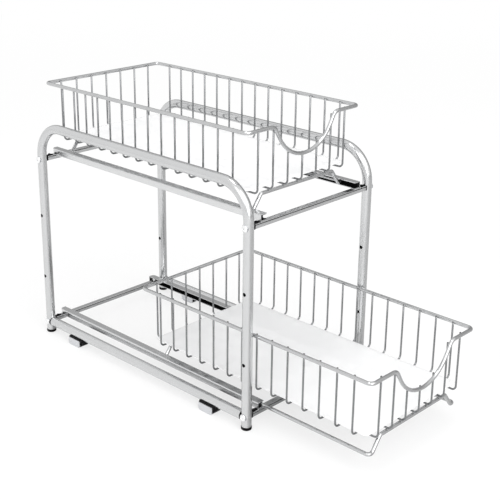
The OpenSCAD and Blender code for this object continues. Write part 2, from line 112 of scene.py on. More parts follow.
passed_share = 0.45  # of the mirrored rays, which go through the floor to the room
near_glow, far_glow = 0.7, 1.0  # share of plain white that the camera sees
glow_start, glow_stop = 0.9, 4.0  # metres from the middle of the floor
floor_paint, p = new_material("white_studio_floor")
ray = p.add("ShaderNodeLightPath")
mirrored = p.add("ShaderNodeMath", operation="MAXIMUM")
passed = p.add("ShaderNodeMath", {1: passed_share}, operation="MULTIPLY")
where = p.add("ShaderNodeTexCoord")
reach = p.add("ShaderNodeVectorMath", operation="LENGTH")
whiter = eased(p, reach, glow_start, glow_stop, near_glow, far_glow)
direct = p.add("ShaderNodeMath", operation="MULTIPLY")
matt = p.add("ShaderNodeBsdfDiffuse", {"Color": (0.86, 0.86, 0.86, 1)})
glow = p.add("ShaderNodeEmission")
both = p.add("ShaderNodeMixShader")
clear = p.add("ShaderNodeBsdfTransparent")
seen = p.add("ShaderNodeMixShader")
out = p.add("ShaderNodeOutputMaterial")
p.wire(ray, "Is Glossy Ray", mirrored, 0)
p.wire(ray, "Is Transmission Ray", mirrored, 1)
p.wire(where, "Object", reach, 0)
p.wire(ray, "Is Camera Ray", direct, 0)
p.wire(whiter, "Result", direct, 1)
p.wire(direct, 0, both, 0)
p.wire(matt, 0, both, 1)
p.wire(glow, 0, both, 2)
p.wire(mirrored, 0, passed, 0)
p.wire(passed, 0, seen, 0)
p.wire(both, 0, seen, 1)
p.wire(clear, 0, seen, 2)
p.wire(seen, 0, out, 0)
floor.data.materials.append(floor_paint)

world = bpy.data.worlds.new("white_room")
bpy.context.scene.world = world
world.use_nodes = True
p = Paint(world.node_tree)
ray = p.add("ShaderNodeLightPath")
where = p.add("ShaderNodeTexCoord")
sky = falls_off(p, where, aim=(0.9, 0.25, -0.2), start=0.15, stop=0.7, dark=0.4)
ground = falls_off(p, where, aim=(0.69, -0.72, 0), start=0.0, stop=0.8, dark=0.05)
height = p.add("ShaderNodeSeparateXYZ")
below = p.add("ShaderNodeMath", {1: 0.0}, operation="LESS_THAN")
room = p.add("ShaderNodeMixRGB")
p.wire(where, "Generated", height, 0)
p.wire(height, "Z", below, 0)
p.wire(below, 0, room, "Fac")
p.wire(sky, "Result", room, "Color1")
p.wire(ground, "Result", room, "Color2")
white = p.add("ShaderNodeMixRGB", {"Color2": (1, 1, 1, 1)})
back = p.add("ShaderNodeBackground")
out = p.add("ShaderNodeOutputWorld")
p.wire(room, "Color", white, "Color1")
p.wire(ray, "Is Camera Ray", white, "Fac")
p.wire(white, 0, back, "Color")
p.wire(back, 0, out, 0)

lit_point = Vector((0, 0, 0.2))
for name, place, width, power in (
    ("key_lamp", (-4.0, -1.8, 3.6), 4.0, 46),
    ("front_lamp", (-1.6, -3.4, 1.4), 2.0, 34),
    ("high_lamp", (-0.6, -3.6, 3.4), 4.0, 70),
    ("top_lamp", (-0.4, 0.2, 4.8), 1.2, 27),
):
    lamp = bpy.data.lights.new(name, "AREA")
    lamp.shape, lamp.size, lamp.energy = "DISK", width, power
    light = bpy.data.objects.new(name, lamp)
    light.location = place
    light.rotation_euler = (lit_point - Vector(place)).to_track_quat("-Z", "Y").to_euler()
    bpy.context.scene.collection.objects.link(light)

# ---- Side frames ----
# Each side is one 16 mm steel tube bent to two legs and a top bar, drilled for the screws.
# It is coated in satin silver. The CAD tubes keep their shape and take that finish.


def new_group(name, inputs, outputs):
    """A group of shader nodes with named inputs and outputs."""
    group = bpy.data.node_groups.new(name, "ShaderNodeTree")
    for label, kind, value in inputs:
        socket = group.interface.new_socket(name=label, in_out="INPUT", socket_type=kind)
        socket.default_value = value
    for label, kind in outputs:
        group.interface.new_socket(name=label, in_out="OUTPUT", socket_type=kind)
    q = Paint(group)
    return group, q, q.add("NodeGroupInput"), q.add("NodeGroupOutput")


COLOR, NUMBER = "NodeSocketColor", "NodeSocketFloat"

# cloudy tone of a coat, with a fine grain that dulls it here and there
coat_grain, q, taken, given = new_group(
    "coat_grain",
    [("Light", COLOR, (0.8, 0.8, 0.8, 1)), ("Dark", COLOR, (0.7, 0.7, 0.7, 1)), ("Smooth", NUMBER, 0.2),
     ("Rough", NUMBER, 0.4), ("Cloud Size", NUMBER, 30.0), ("Grain Size", NUMBER, 900.0)],
    [("Color", COLOR), ("Roughness", NUMBER), ("Height", NUMBER)],
)
where = q.add("ShaderNodeTexCoord")
cloud = q.add("ShaderNodeTexNoise", {"Detail": 5.0})
grain = q.add("ShaderNodeTexNoise", {"Detail": 2.0})
tone = q.add("ShaderNodeMixRGB")
dulled = q.add("ShaderNodeMath", {1: 0.35}, operation="MULTIPLY_ADD")
sheen = q.add("ShaderNodeMapRange", {"From Min": 0.3, "From Max": 1.0})
q.wire(where, "Object", cloud, "Vector")
q.wire(where, "Object", grain, "Vector")
q.wire(taken, "Cloud Size", cloud, "Scale")
q.wire(taken, "Grain Size", grain, "Scale")
q.wire(cloud, "Fac", tone, "Fac")
q.wire(taken, "Light", tone, "Color1")
q.wire(taken, "Dark", tone, "Color2")
q.wire(grain, "Fac", dulled, 0)
q.wire(cloud, "Fac", dulled, 2)
q.wire(dulled, 0, sheen, "Value")
q.wire(taken, "Smooth", sheen, "To Min")
q.wire(taken, "Rough", sheen, "To Max")
q.wire(tone, "Color", given, "Color")
q.wire(sheen, "Result", given, "Roughness")
q.wire(grain, "Fac", given, "Height")

# faint scuffs from handling: thin broken streaks that are a little darker and duller
scuffs, q, taken, given = new_group(
    "scuffs",
    [("Color", COLOR, (0.8, 0.8, 0.8, 1)), ("Roughness", NUMBER, 0.3), ("Streak Size", NUMBER, 60.0),
     ("Darker", NUMBER, 0.1), ("Duller", NUMBER, 0.15)],
    [("Color", COLOR), ("Roughness", NUMBER)],
)
where = q.add("ShaderNodeTexCoord")
stretch = q.add("ShaderNodeMapping", {"Rotation": (0.3, 0.2, 0.5), "Scale": (1.0, 5.0, 2.2)})
streak = q.add("ShaderNodeTexNoise", {"Detail": 6.0, "Roughness": 0.65})
mask = q.add("ShaderNodeMapRange", {"From Min": 0.6, "From Max": 0.75}, clamp=True)
shade = q.add("ShaderNodeMath", operation="MULTIPLY")
darkened = q.add("ShaderNodeMixRGB", {"Color2": (0.12, 0.12, 0.12, 1)})
dulled = q.add("ShaderNodeMath", operation="MULTIPLY_ADD")
q.wire(where, "Object", stretch, "Vector")
q.wire(stretch, 0, streak, "Vector")
q.wire(taken, "Streak Size", streak, "Scale")
q.wire(streak, "Fac", mask, "Value")
q.wire(mask, "Result", shade, 0)
q.wire(taken, "Darker", shade, 1)
q.wire(shade, 0, darkened, "Fac")
q.wire(taken, "Color", darkened, "Color1")
q.wire(mask, "Result", dulled, 0)
q.wire(taken, "Duller", dulled, 1)
q.wire(taken, "Roughness", dulled, 2)
q.wire(darkened, "Color", given, "Color")
q.wire(dulled, 0, given, "Roughness")


def grained(name, light, dark, rough, cloud, grain, bump, scuff, **sockets):
    """A finish with a cloudy tone, a fine grain with its bump in metres, and scuffs.

    rough is the least and the most roughness. scuff is size, darker and duller.
    """
    material, p = new_material(name)
    coat = p.add("ShaderNodeGroup", node_tree=coat_grain)
    worn = p.add("ShaderNodeGroup", node_tree=scuffs)
    for node, values in (
        (coat, {"Light": (*light, 1), "Dark": (*dark, 1), "Smooth": rough[0], "Rough": rough[1],
                "Cloud Size": cloud, "Grain Size": grain}),
        (worn, {"Streak Size": scuff[0], "Darker": scuff[1], "Duller": scuff[2]}),
    ):
        for label, value in values.items():
            node.inputs[label].default_value = value
    fixed = {label.replace("_", " "): value for label, value in sockets.items()}
    skin = p.add("ShaderNodeBsdfPrincipled", fixed)
    lift = p.add("ShaderNodeBump", {"Strength": 1.0, "Distance": bump})
    out = p.add("ShaderNodeOutputMaterial")
    p.wire(coat, "Color", worn, "Color")
    p.wire(coat, "Roughness", worn, "Roughness")
    p.wire(worn, "Color", skin, "Base Color")
    p.wire(worn, "Roughness", skin, "Roughness")
    p.wire(coat, "Height", lift, "Height")
    p.wire(lift, "Normal", skin, "Normal")
    p.wire(skin, 0, out, 0)
    return material


def finish(material, *names):
    """Gives CAD nodes that keep their shape their finish."""
    for name in names:
        nodes[name].data.materials.clear()
        nodes[name].data.materials.append(material)


tube_silver = grained(
    "satin_silver_tube", light=(0.645, 0.65, 0.655), dark=(0.605, 0.61, 0.615), rough=(0.14, 0.23),
    cloud=35, grain=1500, bump=0.0000015, scuff=(45, 0.04, 0.05), Metallic=0.95,
)


def painted_shade_where(name, dark, duller):
    """A group that paints shade: it darkens and dulls a coat where its mask is 1. What the mask is comes
    after.
    """
    group, q, taken, given = new_group(
        name,
        [("Color", COLOR, (0.8, 0.8, 0.8, 1)), ("Roughness", NUMBER, 0.3)],
        [("Color", COLOR), ("Roughness", NUMBER)],
    )
    where = q.add("ShaderNodeTexCoord")
    mask = q.add("ShaderNodeMath", operation="MULTIPLY")
    shade = q.add("ShaderNodeMixRGB", {"Color2": (*dark, 1)})
    dulled = q.add("ShaderNodeMath", {1: duller}, operation="MULTIPLY_ADD")
    q.wire(mask, 0, shade, "Fac")
    q.wire(taken, "Color", shade, "Color1")
    q.wire(mask, 0, dulled, 0)
    q.wire(taken, "Roughness", dulled, 2)
    q.wire(shade, "Color", given, "Color")
    q.wire(dulled, 0, given, "Roughness")
    return group, q, where, mask


# seen through its screw holes, the bore inside a leg is painted near-black and dull: a painted shade
leg_x, leg_y = 138.0, 247.2
bore_r, bore_top = 0.0073, 0.315  # metres: just past the wall's inside, and below the top bend
painted_bore_shade, q, where, mask = painted_shade_where("painted_bore_shade", (0.03, 0.03, 0.032), 0.4)
apart = q.add("ShaderNodeVectorMath", operation="ABSOLUTE")
axis = q.add("ShaderNodeVectorMath", {1: (-leg_x / 1000, -leg_y / 1000, 0.0)}, operation="ADD")
narrow = q.add("ShaderNodeVectorMath", {1: (1.0, 1.0, 0.0)}, operation="MULTIPLY")
length = q.add("ShaderNodeVectorMath", operation="LENGTH")
in_bore = q.add("ShaderNodeMath", {1: bore_r}, operation="LESS_THAN")
split = q.add("ShaderNodeSeparateXYZ")
straight = q.add("ShaderNodeMath", {1: bore_top}, operation="LESS_THAN")
q.wire(where, "Object", apart, 0)
q.wire(apart, "Vector", axis, 0)
q.wire(axis, "Vector", narrow, 0)
q.wire(narrow, "Vector", length, 0)
q.wire(length, "Value", in_bore, 0)
q.wire(axis, "Vector", split, 0)
q.wire(split, "Z", straight, 0)
q.wire(in_bore, 0, mask, 0)
q.wire(straight, 0, mask, 1)


def change_coat(material, group):
    """Lets a group change a finish just before it reaches the skin."""
    tree = material.node_tree
    skin = tree.nodes["Principled BSDF"]
    change = tree.nodes.new("ShaderNodeGroup")
    change.node_tree = group
    for label in ("Base Color", "Roughness"):
        entry = label.split()[-1]
        tree.links.new(skin.inputs[label].links[0].from_socket, change.inputs[entry])
        tree.links.new(change.outputs[entry], skin.inputs[label])


change_coat(tube_silver, painted_bore_shade)
finish(tube_silver, "left_arch", "right_arch")

# ---- Foot caps ----
# Black moulded plastic caps pushed into the legs, a little wider than the tube, with a thin lip.
# Each stands on a flat ring and has a hollow with a gate mark under it.
FOOT_OUTLINE = (
    (0, 1.0), (1.1, 1.0), (1.3, 0.6), (4.2, 0.6), (5.0, 0.0), (6.5, 0.0), (7.5, 0.27), (8.2, 0.95),
    (8.5, 2.0), (8.5, 5.1), (8.4, 5.35), (8.05, 5.45), (8.05, 4.5), (6.7, 4.5), (6.7, 14.5), (6.0, 15.5),
    (0, 15.5),
)


def spun(bm, outline, steps, seat=Matrix.Identity(4)):
    """Turns an outline of (radius, height) points into a round body at its seat, and gives its points."""
    before = set(bm.verts)
    line = [bmesh.ops.create_vert(bm, co=(r, 0, z))["vert"][0] for r, z in outline]
    edges = [bm.edges.new(pair) for pair in zip(line, line[1:])]
    bmesh.ops.spin(bm, geom=line + edges, axis=(0, 0, 1), cent=(0, 0, 0), angle=2 * math.pi,
                   steps=steps, use_merge=True)
    bmesh.ops.remove_doubles(bm, verts=[vert for vert in bm.verts if vert not in before], dist=0.001)
    own = [vert for vert in bm.verts if vert not in before]
    for face in {face for vert in own for face in vert.link_faces}:
        face.smooth = True
    bmesh.ops.transform(bm, matrix=seat, verts=own)
    return own


def crease(bm, least=50):
    """Marks the edges that turn by more than this many degrees as sharp."""
    for edge in bm.edges:
        if len(edge.link_faces) == 2 and edge.calc_face_angle(0) > math.radians(least):
            edge.smooth = False


def add_piece(bm, name, body, slot, materials, *stands_for):
    """Makes a finished object from a mesh drawn in millimetres, riding on its body."""
    bmesh.ops.scale(bm, vec=(0.001, 0.001, 0.001), verts=bm.verts)
    bmesh.ops.recalc_face_normals(bm, faces=bm.faces)
    crease(bm)
    mesh = bpy.data.meshes.new(name)
    bm.to_mesh(mesh)
    bm.free()
    for material in materials:
        mesh.materials.append(material)
    piece = bpy.data.objects.new(name, mesh)
    bpy.context.scene.collection.objects.link(piece)
    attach(piece, body)
    if stands_for:
        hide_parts(*stands_for)


black_plastic = grained(
    "black_plastic", light=(0.006, 0.006, 0.0065), dark=(0.003, 0.003, 0.0033), rough=(0.45, 0.6),
    cloud=60, grain=1800, bump=0.00001, scuff=(70, 0.05, 0.1), Specular_IOR_Level=0.05,
)
for side, x in (("left", -leg_x), ("right", leg_x)):
    for end, y in (("front", -leg_y), ("rear", leg_y)):
        bm = bmesh.new()
        spun(bm, FOOT_OUTLINE, steps=48, seat=Matrix.Translation((x, y, 0)))
        add_piece(bm, f"{end}_{side}_foot_cap", "frame", "black_plastic", [black_plastic],
                  f"{end}_{side}_foot")

# ---- Base tubes and their end plugs ----
# A base tube of the same stock stands between the legs of each side, on the floor clips.
# A black plug with a collar shaped to the leg closes each of its ends.
finish(tube_silver, "left_base_tube", "right_base_tube")
finish(black_plastic, "base_tube_plugs")

# ---- Crossbars and their end plugs ----
# Flat roll-formed tubes with a groove under the upper edge join the two sides.
# Black plugs close their ends: a collar against the leg, and a tongue with a button on top.
bar_height = {"lower": 21.95, "upper": 328.1}
bar_silver = grained(
    "satin_silver_bar", light=(0.66, 0.665, 0.67), dark=(0.62, 0.625, 0.63), rough=(0.14, 0.23),
    cloud=35, grain=1500, bump=0.0000015, scuff=(45, 0.05, 0.06), Metallic=0.95,
)

# the rolled groove is painted dark and dull as shade: a band of height, just inside the bar's faces
groove_rise, groove_half, face_in = 0.0023, 0.0009, 0.00495
painted_groove_shade, q, where, mask = painted_shade_where("painted_groove_shade", (0.05, 0.05, 0.052), 0.3)
split = q.add("ShaderNodeSeparateXYZ")
far = q.add("ShaderNodeMath", operation="ABSOLUTE")
centred = q.add("ShaderNodeMath", {1: leg_y / 1000}, operation="SUBTRACT")
depth = q.add("ShaderNodeMath", operation="ABSOLUTE")
inside = q.add("ShaderNodeMath", {1: face_in}, operation="LESS_THAN")
band = q.add("ShaderNodeMath", operation="MAXIMUM")
q.wire(where, "Object", split, 0)
q.wire(split, "Y", far, 0)
q.wire(far, 0, centred, 0)
q.wire(centred, 0, depth, 0)
q.wire(depth, 0, inside, 0)
for i, z in enumerate(bar_height.values()):
    level_with = q.add("ShaderNodeMath", {1: z / 1000 + groove_rise, 2: groove_half}, operation="COMPARE")
    q.wire(split, "Z", level_with, 0)
    q.wire(level_with, 0, band, i)
q.wire(inside, 0, mask, 0)
q.wire(band, 0, mask, 1)
change_coat(bar_silver, painted_groove_shade)
finish(bar_silver, "lower_front_bar", "lower_rear_bar", "upper_front_bar", "upper_rear_bar")
finish(black_plastic, "bar_end_plugs")

# ---- Frame screws and saddle washers ----
# Polished dome-headed screws with a cross recess hold each crossbar's plug through the leg.
# Zinc-plated washers shaped to the tube lie under the heads.
SCREW_OUTLINE = (
    (0, 30.3), (1.4, 30.3), (2.0, 29.5), (2.0, 2.3), (5.3, 2.3), (5.5, 2.1), (5.35, 1.75), (4.9, 1.3),
    (4.3, 0.87), (3.5, 0.46), (2.7, 0.18),
)


def each_once(items):
    """The items in their order, each of them once. A set would change their order from run to run."""
    return list(dict.fromkeys(items))


def drawn_on(bm, ring):
    """Draws a ring of edges on, and gives the points and edges of the new ring."""
    new = bmesh.ops.extrude_edge_only(bm, edges=ring)["geom"]
    verts = [item for item in new if isinstance(item, bmesh.types.BMVert)]
    edges = [item for item in new if isinstance(item, bmesh.types.BMEdge) and set(item.verts) <= set(verts)]
    return verts, edges


def cross_recess(bm, ring, depth):
    """Closes a screw head inwards from its last ring with a cross-shaped recess."""
    waist, arm, mouth_z, taper = 0.75, 1.25, 0.06, 0.62
    mouth, ring = drawn_on(bm, ring)
    for vert in mouth:
        around = math.atan2(vert.co.y, vert.co.x)
        reach = waist + arm * (0.5 + 0.5 * math.cos(4 * around)) ** 4
        vert.co.xy = vert.co.xy.normalized() * reach
        vert.co.z = mouth_z
    low, ring = drawn_on(bm, ring)
    for vert in low:
        vert.co.xy *= taper
        vert.co.z = depth
    # the bottom of the recess takes the second material, which paints shade in it
    bmesh.ops.edgeloop_fill(bm, edges=ring, mat_nr=1)


def frame_screw(bm, seat):
    """One screw, drawn with the crest of its head at z = 0 and its shank along +Z, put at its seat."""
    before = set(bm.verts)
    head = spun(bm, SCREW_OUTLINE, steps=48)
    ring = [edge for edge in each_once(edge for vert in head for edge in vert.link_edges) if edge.is_boundary]
    cross_recess(bm, ring, depth=1.5)
    own = [vert for vert in bm.verts if vert not in before]
    for face in {face for vert in own for face in vert.link_faces}:
        face.smooth = True
    bmesh.ops.transform(bm, matrix=seat, verts=own)


polished = grained(
    "polished_screw", light=(0.95, 0.955, 0.96), dark=(0.90, 0.905, 0.91), rough=(0.08, 0.16),
    cloud=80, grain=2000, bump=0.000002, scuff=(120, 0.06, 0.08), Metallic=1.0,
)
# the bottom of each cross recess is painted darker than the head: a painted shade
recess_painted_shade = grained(
    "screw_cross_painted_shade", light=(0.30, 0.30, 0.31), dark=(0.20, 0.20, 0.21), rough=(0.3, 0.5),
    cloud=200, grain=2000, bump=0.000002, scuff=(120, 0.1, 0.1), Metallic=1.0,
)
crest_out = 10.9  # from the leg's axis to the crest of the head
bm = bmesh.new()
for z in bar_height.values():
    for y in (-leg_y, leg_y):
        for x, way in ((-leg_x, 1), (leg_x, -1)):
            crest = Matrix.Translation((x - way * crest_out, y, z))
            inwards = Matrix.Rotation(way * math.pi / 2, 4, "Y")
            tightened = Matrix.Rotation(0.5 * y / leg_y + z, 4, "Z")
            frame_screw(bm, crest @ inwards @ tightened)
add_piece(bm, "dome_screws", "frame", "chrome_screw", [polished, recess_painted_shade], "frame_screws")

zinc_plate = grained(
    "zinc_plate", light=(0.72, 0.73, 0.75), dark=(0.60, 0.61, 0.63), rough=(0.28, 0.42),
    cloud=60, grain=1200, bump=0.00001, scuff=(80, 0.12, 0.12), Metallic=0.95,
)
finish(zinc_plate, "saddle_washers")

# ---- Rails and guides ----
# Four C-shaped rails folded from sheet steel, open towards the basket, closed at the rear.
# A black plastic guide fills each one and carries the runner wire of its basket.
rail_silver = grained(
    "rail_silver", light=(0.72, 0.725, 0.73), dark=(0.66, 0.665, 0.67), rough=(0.16, 0.26),
    cloud=40, grain=1500, bump=0.000002, scuff=(50, 0.05, 0.06), Metallic=0.95,
)
finish(rail_silver, "lower_left_rail", "lower_right_rail", "upper_left_rail", "upper_right_rail")
finish(black_plastic, "lower_left_guide", "lower_right_guide", "upper_left_guide", "upper_right_guide")

# ---- Rail welds ----
# The rails are welded to their crossbars: a bead along each open edge, and a tack at the back.
# The beads are rippled, and greyer than the coat over them.


def start_ring(bm, place, way, diameter, sides):
    """A ring of edges round a bar's axis, square to it."""
    seat = Matrix.Translation(place) @ way.to_track_quat("Z", "Y").to_matrix().to_4x4()
    verts = bmesh.ops.create_circle(bm, segments=sides, radius=diameter / 2, matrix=seat)["verts"]
    return each_once(edge for vert in verts for edge in vert.link_edges)


def draw_out(bm, ring, step, width=1.0):
    """Draws the ring on by a step, and widens or narrows it."""
    verts, edges = drawn_on(bm, ring)
    if width != 1:
        middle = sum((vert.co for vert in verts), Vector()) / len(verts)
        bmesh.ops.scale(bm, vec=(width, width, width), space=Matrix.Translation(-middle), verts=verts)
    bmesh.ops.translate(bm, vec=step, verts=verts)
    return edges


def bead(bm, start, stop, diameter, ripples, swing=0.86):
    """A rippled weld bead from start to stop. Its ends narrow to a tip."""
    tip = 0.45
    way = (Vector(stop) - Vector(start)).normalized()
    step = (Vector(stop) - Vector(start)) / (2 * ripples + 2)
    ring = start_ring(bm, start, way, diameter * tip, 10)
    bmesh.ops.edgeloop_fill(bm, edges=ring)
    ring = draw_out(bm, ring, step, 1 / tip)
    for _ in range(ripples):
        ring = draw_out(bm, ring, step, swing)
        ring = draw_out(bm, ring, step, 1 / swing)
    ring = draw_out(bm, ring, step, tip)
    bmesh.ops.edgeloop_fill(bm, edges=ring)


def tack(bm, place, size):
    """A small lens of weld metal."""
    seat = Matrix.Translation(place) @ Matrix.Diagonal((*size, 1))
    bmesh.ops.create_uvsphere(bm, u_segments=8, v_segments=5, radius=1, matrix=seat)


web_x, rail_w, bar_top = 116.0, 13.0, 3.75
bead_d, bead_half, bead_rise = 2.0, 4.6, 0.35
rail_stop = 249.6  # a bead ends here, short of the rail's closed end
weld_grey = grained(
    "weld_grey", light=(0.52, 0.525, 0.53), dark=(0.36, 0.36, 0.365), rough=(0.34, 0.55),
    cloud=300, grain=2500, bump=0.00003, scuff=(200, 0.2, 0.15), Metallic=0.9,
)
bm = bmesh.new()
for z in bar_height.values():
    for end in (-1, 1):
        for side in (-1, 1):
            lip = side * (web_x - rail_w - 0.2)
            start, stop = end * leg_y - bead_half, min(end * leg_y + bead_half, rail_stop)
            bead_z = z + bar_top + bead_rise
            bead(bm, (lip, start, bead_z), (lip, stop, bead_z), bead_d, ripples=6)
            tack(bm, (side * (web_x - 0.1), end * leg_y - 3.9, z + bar_top + 0.5), (1.1, 1.0, 0.9))
for face in bm.faces:
    face.smooth = True
add_piece(bm, "rail_welds", "frame", "rail_steel", [weld_grey])

# ---- Floor clips and their rubber blocks ----
# Zinc-plated brackets folded to a U are screwed to the cabinet floor.
# A rubber block pushed into each one cradles the base tube and keeps it quiet.
finish(zinc_plate, "front_left_clip", "front_right_clip", "rear_left_clip", "rear_right_clip")
black_rubber = grained(
    "black_rubber", light=(0.016, 0.016, 0.017), dark=(0.009, 0.009, 0.0095), rough=(0.6, 0.8),
    cloud=50, grain=1400, bump=0.00003, scuff=(90, 0.05, 0.1), Specular_IOR_Level=0.1,
)
finish(black_rubber, "front_left_block", "front_right_block", "rear_left_block", "rear_right_block")

# ---- Basket rims ----
# Each rim is one 6 mm wire bent to a closed loop, with a dip in its front for the hand.
# Its ends are butt-welded at the rear. The lower basket is pulled out.
rim_x, rim_front, rim_rear, rim_d, corner_r = 126.1, -231.1, 240.0, 6.0, 8.0
dip_depth, dip_r, dip_slope, shoulder_r = 52.0, 67.0, math.radians(60), 13.0
dip_tip = dip_depth + dip_r * (1 / math.cos(dip_slope) - 1)
dip_x = dip_tip / math.tan(dip_slope)
rim_height = {"lower": 154.85, "upper": 461.0}
pulled_out = {"lower": 237.5, "upper": 0.0}


def turn_round(bm, ring, centre, axis, angle, steps):
    """Bends the bar on from its last ring."""
    bar_end = ring + each_once(vert for edge in ring for vert in edge.verts)
    last = bmesh.ops.spin(bm, geom=bar_end, cent=centre, axis=axis, angle=angle, steps=steps,
                          use_duplicate=False)
    return [item for item in last["geom_last"] if isinstance(item, bmesh.types.BMEdge)]


def bent_bar(bm, corners, radii, diameter, sides, steps, closed=False):
    """A round bar bent through the corners, closed on itself or cut off and pinched at both ends."""
    corners = [Vector(corner) for corner in corners]
    legs = [b - a for a, b in zip(corners, corners[1:])]
    ways = [leg.normalized() for leg in legs]
    takes = [0, *(r * math.tan(u.angle(v) / 2) for r, u, v in zip(radii, ways, ways[1:])), 0]
    pinch = 1 if closed else 0.8
    burr = 0 if closed else 0.12 * diameter
    ring = start_ring(bm, corners[0], ways[0], pinch * diameter, sides)
    if not closed:
        bmesh.ops.edgeloop_fill(bm, edges=ring)
        ring = draw_out(bm, ring, ways[0] * burr, 1 / pinch)
    for i, way in enumerate(ways):
        cut = (burr if i == 0 else 0) + (burr if i == len(ways) - 1 else 0)
        ring = draw_out(bm, ring, way * (legs[i].length - takes[i] - takes[i + 1] - cut))
        if i < len(radii):
            axis = way.cross(ways[i + 1]).normalized()
            centre = corners[i + 1] - way * takes[i + 1] + axis.cross(way) * radii[i]
            ring = turn_round(bm, ring, centre, axis, way.angle(ways[i + 1]), steps)
    if closed:
        last = [vert for edge in ring for vert in edge.verts]
        first = [vert for vert in bm.verts if (vert.co - corners[0]).length < 0.51 * diameter]
        bmesh.ops.remove_doubles(bm, verts=each_once(last + first), dist=0.02)
    else:
        ring = draw_out(bm, ring, ways[-1] * burr, pinch)
        bmesh.ops.edgeloop_fill(bm, edges=ring)


def to_tier(bm, tier):
    """Puts a basket's piece at its tier, shaded smooth, the cut ends of its wires in the second material: a
    painted shade.
    """
    largest_other = 12  # corners of any face that isn't the cut end of a wire
    for face in bm.faces:
        face.smooth = True
    for cut in [face for face in bm.faces if len(face.verts) > largest_other]:
        cut.smooth = False
        for face in {face for edge in cut.edges for face in edge.link_faces}:
            face.material_index = 1
    bmesh.ops.translate(bm, vec=(0, -pulled_out[tier], rim_height[tier]), verts=bm.verts)


weld_proud, weld_half, weld_swing = 0.5, 1.2, 0.97  # butt weld: on the diameter, half its length, ripple
rim_wire = grained(
    "bright_rim_wire", light=(0.58, 0.585, 0.59), dark=(0.50, 0.505, 0.51), rough=(0.08, 0.15),
    cloud=50, grain=2000, bump=0.0000015, scuff=(60, 0.05, 0.05), Metallic=0.95,
)
for tier in rim_height:
    bm = bmesh.new()
    bent_bar(
        bm,
        [(0, rim_rear, 0), (-rim_x, rim_rear, 0), (-rim_x, rim_front, 0), (-dip_x, rim_front, 0),
         (0, rim_front, -dip_tip), (dip_x, rim_front, 0), (rim_x, rim_front, 0), (rim_x, rim_rear, 0),
         (0, rim_rear, 0)],
        [corner_r, corner_r, shoulder_r, dip_r, shoulder_r, corner_r, corner_r],
        rim_d, sides=24, steps=14, closed=True,
    )
    bead(bm, (-weld_half, rim_rear, 0), (weld_half, rim_rear, 0), rim_d + weld_proud, 1, weld_swing)
    to_tier(bm, tier)
    add_piece(bm, f"{tier}_bent_rim", f"{tier}_basket", "silver_wire", [rim_wire], f"{tier}_rim")

# ---- Cross wires ----
# Fourteen 3 mm wires, each bent to a U from side to side, welded inside the rim.
# Their cut ends stand just above its axis, and the cut is painted near-black as shade.
wire_d, wire_r, wire_top, basket_h = 3.0, 7.0, 1.5, 96.5
cross_x, cross_floor = 121.55, -93.45
cross_count, from_rear, from_front = 14, 38.3, 32.5
cross_pitch = (rim_rear - rim_front - from_rear - from_front) / (cross_count - 1)
cross_places = [rim_rear - from_rear - i * cross_pitch for i in range(cross_count)]
# the basket wires are the rims' plated steel, painted about half as light as the rims: a painted shade
painted_shade_wire = grained(
    "painted_shade_basket_steel", light=(0.28, 0.285, 0.29), dark=(0.23, 0.235, 0.24), rough=(0.10, 0.18),
    cloud=50, grain=2000, bump=0.0000015, scuff=(60, 0.05, 0.05), Metallic=0.95,
)
# the cut ends of the wires and the ring next to them are painted near-black as shade
cut_painted_shade = grained(
    "wire_cut_painted_shade", light=(0.03, 0.03, 0.032), dark=(0.015, 0.015, 0.016), rough=(0.4, 0.6),
    cloud=300, grain=2500, bump=0.00002, scuff=(200, 0.1, 0.1), Metallic=0.3,
)


def u_wire(bm, *corners):
    """One basket wire, bent at its two lower corners and cut off at both ends."""
    bent_bar(bm, corners, [wire_r, wire_r], wire_d, sides=16, steps=8)


for tier in rim_height:
    bm = bmesh.new()
    for y in cross_places:
        u_wire(bm, (-cross_x, y, wire_top), (-cross_x, y, cross_floor), (cross_x, y, cross_floor),
               (cross_x, y, wire_top))
    to_tier(bm, tier)
    add_piece(bm, f"{tier}_bent_cross_wires", f"{tier}_basket", "silver_wire", [painted_shade_wire, cut_painted_shade],
              f"{tier}_cross_wires")

# ---- Long wires ----
# Seven 3 mm wires run under the cross wires from the front rim, or its dip, to the rear rim.
# They are bent and cut as the cross wires are.
long_in = rim_x - cross_x  # the wires stand just inside the rim all round
long_front, long_rear = rim_front + long_in, rim_rear - long_in
long_count, from_side = 7, 27.7
long_pitch = 2 * (rim_x - from_side) / (long_count - 1)
long_places = [(i - (long_count - 1) / 2) * long_pitch for i in range(long_count)]


def rim_dips(x):
    """Height of the front rim's axis, measured from the rest of the rim."""
    x = abs(x)
    take = shoulder_r * math.tan(dip_slope / 2)
    if x < dip_r * math.sin(dip_slope):
        return dip_r - dip_depth - math.sqrt(dip_r ** 2 - x ** 2)
    if x < dip_x - take * math.cos(dip_slope):
        return (x - dip_x) * math.tan(dip_slope)
    if x < dip_x + take:
        return math.sqrt(shoulder_r ** 2 - (dip_x + take - x) ** 2) - shoulder_r
    return 0


for tier in rim_height:
    bm = bmesh.new()
    for x in long_places:
        u_wire(bm, (x, long_front, rim_dips(x) + wire_top), (x, long_front, -basket_h),
               (x, long_rear, -basket_h), (x, long_rear, wire_top))
    to_tier(bm, tier)
    add_piece(bm, f"{tier}_bent_long_wires", f"{tier}_basket", "silver_wire", [painted_shade_wire, cut_painted_shade],
              f"{tier}_long_wires")

